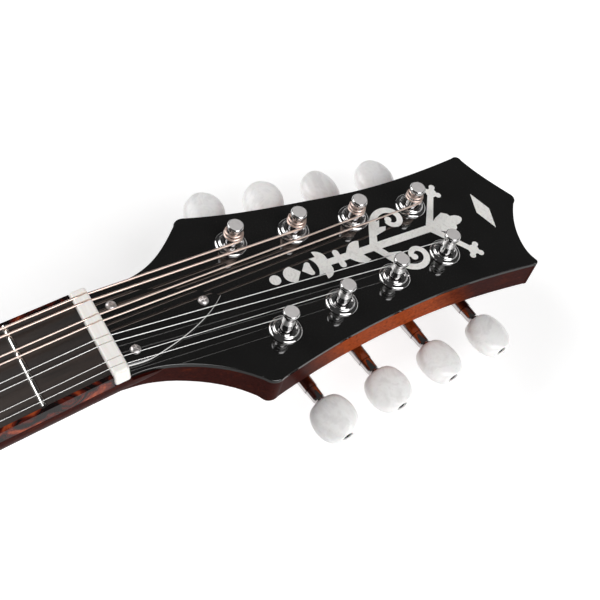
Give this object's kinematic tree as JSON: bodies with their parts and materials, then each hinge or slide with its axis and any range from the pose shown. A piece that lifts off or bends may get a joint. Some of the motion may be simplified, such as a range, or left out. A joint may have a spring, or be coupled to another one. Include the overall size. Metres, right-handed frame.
{
  "type": "bouzouki",
  "caption": "Short-scale flat-top bouzouki with a teardrop body, tilted headstock, paired strings, floating bridge, tailpiece and worm-gear tuners that turn.",
  "frame": {"origin": "bottom centre of the bounding box, on the plane that the flat back lies on", "axes": "+X towards the treble side, +Y from the tail towards the headstock, +Z out of the soundboard; the instrument lies on its back"},
  "size_m": [0.34, 0.8861, 0.0985],
  "materials": {
    "spruce": "clear gloss lacquer over straight-grained spruce",
    "rosette": "inlaid wood rings under lacquer",
    "body_mahogany": "gloss lacquer over mahogany",
    "neck_mahogany": "gloss lacquer over mahogany",
    "tortoise": "tortoise-pattern celluloid",
    "lining_wood": "bare sanded wood",
    "block_wood": "bare sanded wood",
    "spruce_braces": "bare planed spruce",
    "steel": "plain steel",
    "rosewood": "oiled, very dark",
    "fret_wire": "polished nickel silver",
    "pearl": "polished pearl",
    "bone": "polished bone",
    "black_overlay": "mirror-gloss black lacquer on veneer",
    "black_cover": "gloss black with polished bevel",
    "nickel": "nickel plated",
    "chrome": "bright chrome",
    "ebony": "satin, near black",
    "bronze_winding": "wound, pink bronze",
    "string_steel": "plain steel wire",
    "pearloid": "white pearloid, polished"
  },
  "bodies": {
    "instrument": {"soundboard": "spruce", "rosette": "rosette", "back_plate": "body_mahogany", "rims": "body_mahogany", "top_binding": "tortoise", "back_binding": "tortoise", "linings": "lining_wood", "neck_block": "block_wood", "tail_block": "block_wood", "top_braces": "spruce_braces", "back_braces": "spruce_braces", "neck": "neck_mahogany", "heel_cap": "tortoise", "truss_rod": "steel", "fingerboard": "rosewood", "fingerboard_binding": "tortoise", "frets": "fret_wire", "position_dots": "pearl", "nut": "bone", "headstock_overlay": "black_overlay", "headstock_inlay": "pearl", "truss_rod_cover": "black_cover", "cover_screws": "nickel", "tuner_housings": "chrome", "tuner_covers": "chrome", "tuner_ferrules": "chrome", "tuner_mounting_screws": "nickel", "bridge": "ebony", "saddle": "bone", "tailpiece": "nickel", "tailpiece_screws": "nickel", "strap_button": "nickel", "strap_button_screw": "nickel", "wound_strings": "bronze_winding", "plain_strings": "string_steel"},
    "tuner_post_1_body": {"tuner_post_1": "chrome"},
    "tuner_key_1": {"tuner_shaft_1": "chrome", "tuner_button_1": "pearloid"},
    "tuner_post_2_body": {"tuner_post_2": "chrome"},
    "tuner_key_2": {"tuner_shaft_2": "chrome", "tuner_button_2": "pearloid"},
    "tuner_post_3_body": {"tuner_post_3": "chrome"},
    "tuner_key_3": {"tuner_shaft_3": "chrome", "tuner_button_3": "pearloid"},
    "tuner_post_4_body": {"tuner_post_4": "chrome"},
    "tuner_key_4": {"tuner_shaft_4": "chrome", "tuner_button_4": "pearloid"},
    "tuner_post_5_body": {"tuner_post_5": "chrome"},
    "tuner_key_5": {"tuner_shaft_5": "chrome", "tuner_button_5": "pearloid"},
    "tuner_post_6_body": {"tuner_post_6": "chrome"},
    "tuner_key_6": {"tuner_shaft_6": "chrome", "tuner_button_6": "pearloid"},
    "tuner_post_7_body": {"tuner_post_7": "chrome"},
    "tuner_key_7": {"tuner_shaft_7": "chrome", "tuner_button_7": "pearloid"},
    "tuner_post_8_body": {"tuner_post_8": "chrome"},
    "tuner_key_8": {"tuner_shaft_8": "chrome", "tuner_button_8": "pearloid"}
  },
  "joints": [
    {"name": "button_1_turn", "type": "hinge", "parent": "instrument", "child": "tuner_key_1", "pos_m": [-0.02274, 0.30916, 0.04999], "axis": [-0.9943, 0.1046, -0.0217], "continuous": true},
    {"name": "post_1_turn", "type": "hinge", "parent": "instrument", "child": "tuner_post_1_body", "pos_m": [-0.0233, 0.30864, 0.07297], "axis": [0, 0.2028, 0.9792], "continuous": true},
    {"name": "button_2_turn", "type": "hinge", "parent": "instrument", "child": "tuner_key_2", "pos_m": [-0.01965, 0.33739, 0.04414], "axis": [-0.9943, 0.1046, -0.0217], "continuous": true},
    {"name": "post_2_turn", "type": "hinge", "parent": "instrument", "child": "tuner_post_2_body", "pos_m": [-0.0202, 0.33687, 0.06713], "axis": [0, 0.2028, 0.9792], "continuous": true},
    {"name": "button_3_turn", "type": "hinge", "parent": "instrument", "child": "tuner_key_3", "pos_m": [-0.01655, 0.36563, 0.0383], "axis": [-0.9943, 0.1046, -0.0217], "continuous": true},
    {"name": "post_3_turn", "type": "hinge", "parent": "instrument", "child": "tuner_post_3_body", "pos_m": [-0.01711, 0.36511, 0.06128], "axis": [0, 0.2028, 0.9792], "continuous": true},
    {"name": "button_4_turn", "type": "hinge", "parent": "instrument", "child": "tuner_key_4", "pos_m": [-0.01345, 0.39386, 0.03245], "axis": [-0.9943, 0.1046, -0.0217], "continuous": true},
    {"name": "post_4_turn", "type": "hinge", "parent": "instrument", "child": "tuner_post_4_body", "pos_m": [-0.01401, 0.39334, 0.05543], "axis": [0, 0.2028, 0.9792], "continuous": true},
    {"name": "button_5_turn", "type": "hinge", "parent": "instrument", "child": "tuner_key_5", "pos_m": [0.01345, 0.39386, 0.03245], "axis": [0.9943, 0.1046, -0.0217], "continuous": true},
    {"name": "post_5_turn", "type": "hinge", "parent": "instrument", "child": "tuner_post_5_body", "pos_m": [0.01401, 0.39334, 0.05543], "axis": [0, 0.2028, 0.9792], "continuous": true},
    {"name": "button_6_turn", "type": "hinge", "parent": "instrument", "child": "tuner_key_6", "pos_m": [0.01655, 0.36563, 0.0383], "axis": [0.9943, 0.1046, -0.0217], "continuous": true},
    {"name": "post_6_turn", "type": "hinge", "parent": "instrument", "child": "tuner_post_6_body", "pos_m": [0.01711, 0.36511, 0.06128], "axis": [0, 0.2028, 0.9792], "continuous": true},
    {"name": "button_7_turn", "type": "hinge", "parent": "instrument", "child": "tuner_key_7", "pos_m": [0.01965, 0.33739, 0.04414], "axis": [0.9943, 0.1046, -0.0217], "continuous": true},
    {"name": "post_7_turn", "type": "hinge", "parent": "instrument", "child": "tuner_post_7_body", "pos_m": [0.0202, 0.33687, 0.06713], "axis": [0, 0.2028, 0.9792], "continuous": true},
    {"name": "button_8_turn", "type": "hinge", "parent": "instrument", "child": "tuner_key_8", "pos_m": [0.02274, 0.30916, 0.04999], "axis": [0.9943, 0.1046, -0.0217], "continuous": true},
    {"name": "post_8_turn", "type": "hinge", "parent": "instrument", "child": "tuner_post_8_body", "pos_m": [0.0233, 0.30864, 0.07297], "axis": [0, 0.2028, 0.9792], "continuous": true}
  ],
  "couplings": [
    {"joint": "post_1_turn", "follows": "button_1_turn", "ratio": 0.071429},
    {"joint": "post_2_turn", "follows": "button_2_turn", "ratio": 0.071429},
    {"joint": "post_3_turn", "follows": "button_3_turn", "ratio": 0.071429},
    {"joint": "post_4_turn", "follows": "button_4_turn", "ratio": 0.071429},
    {"joint": "post_5_turn", "follows": "button_5_turn", "ratio": 0.071429},
    {"joint": "post_6_turn", "follows": "button_6_turn", "ratio": 0.071429},
    {"joint": "post_7_turn", "follows": "button_7_turn", "ratio": 0.071429},
    {"joint": "post_8_turn", "follows": "button_8_turn", "ratio": 0.071429}
  ]
}
